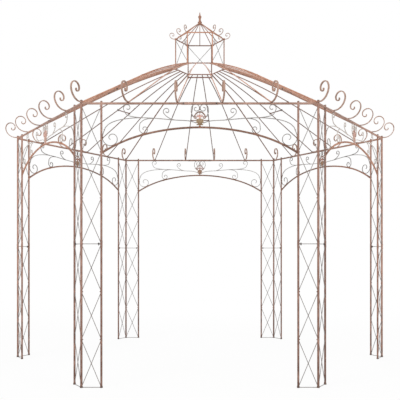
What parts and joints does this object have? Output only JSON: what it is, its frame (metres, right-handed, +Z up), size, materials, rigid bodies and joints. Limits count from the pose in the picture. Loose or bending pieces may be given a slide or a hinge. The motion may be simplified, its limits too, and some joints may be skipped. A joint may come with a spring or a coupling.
{
  "type": "gazebo",
  "caption": "Open hexagonal garden gazebo of iron tube: lattice columns, arched headers with scrollwork, a rib roof with eave scrolls, and a small lantern with a finial.",
  "frame": {"origin": "on the ground, on the vertical axis under the finial", "axes": "+Z up; +Y from the front side to the back side, square to both; +X to the right, through a corner post"},
  "size_m": [4.2726, 3.7252, 3.792],
  "materials": {
    "iron_tube": "antique brown paint, satin",
    "lattice_iron": "antique brown paint, worn",
    "scroll_iron": "antique brown paint, satin",
    "cast_iron": "antique brown paint over rough casting"
  },
  "bodies": {
    "root": {"front_right_corner_post": "iron_tube", "right_corner_post": "iron_tube", "back_right_corner_post": "iron_tube", "back_left_corner_post": "iron_tube", "left_corner_post": "iron_tube", "front_left_corner_post": "iron_tube", "front_eave_rail": "iron_tube", "front_right_eave_rail": "iron_tube", "back_right_eave_rail": "iron_tube", "back_eave_rail": "iron_tube", "back_left_eave_rail": "iron_tube", "front_left_eave_rail": "iron_tube", "front_roof_ribs": "iron_tube", "front_right_roof_ribs": "iron_tube", "back_right_roof_ribs": "iron_tube", "back_roof_ribs": "iron_tube", "back_left_roof_ribs": "iron_tube", "front_left_roof_ribs": "iron_tube", "hip_rafters": "iron_tube", "crown_ring": "iron_tube", "lantern_cage": "iron_tube", "lantern_roof": "iron_tube", "front_lattice_left": "lattice_iron", "front_lattice_right": "lattice_iron", "front_right_lattice_left": "lattice_iron", "front_right_lattice_right": "lattice_iron", "back_right_lattice_left": "lattice_iron", "back_right_lattice_right": "lattice_iron", "back_lattice_left": "lattice_iron", "back_lattice_right": "lattice_iron", "back_left_lattice_left": "lattice_iron", "back_left_lattice_right": "lattice_iron", "front_left_lattice_left": "lattice_iron", "front_left_lattice_right": "lattice_iron", "front_arched_header": "scroll_iron", "front_right_arched_header": "scroll_iron", "back_right_arched_header": "scroll_iron", "back_arched_header": "scroll_iron", "back_left_arched_header": "scroll_iron", "front_left_arched_header": "scroll_iron", "eave_scrolls": "scroll_iron", "lantern_scrolls": "scroll_iron", "header_castings": "cast_iron", "finial": "cast_iron"}
  },
  "joints": []
}
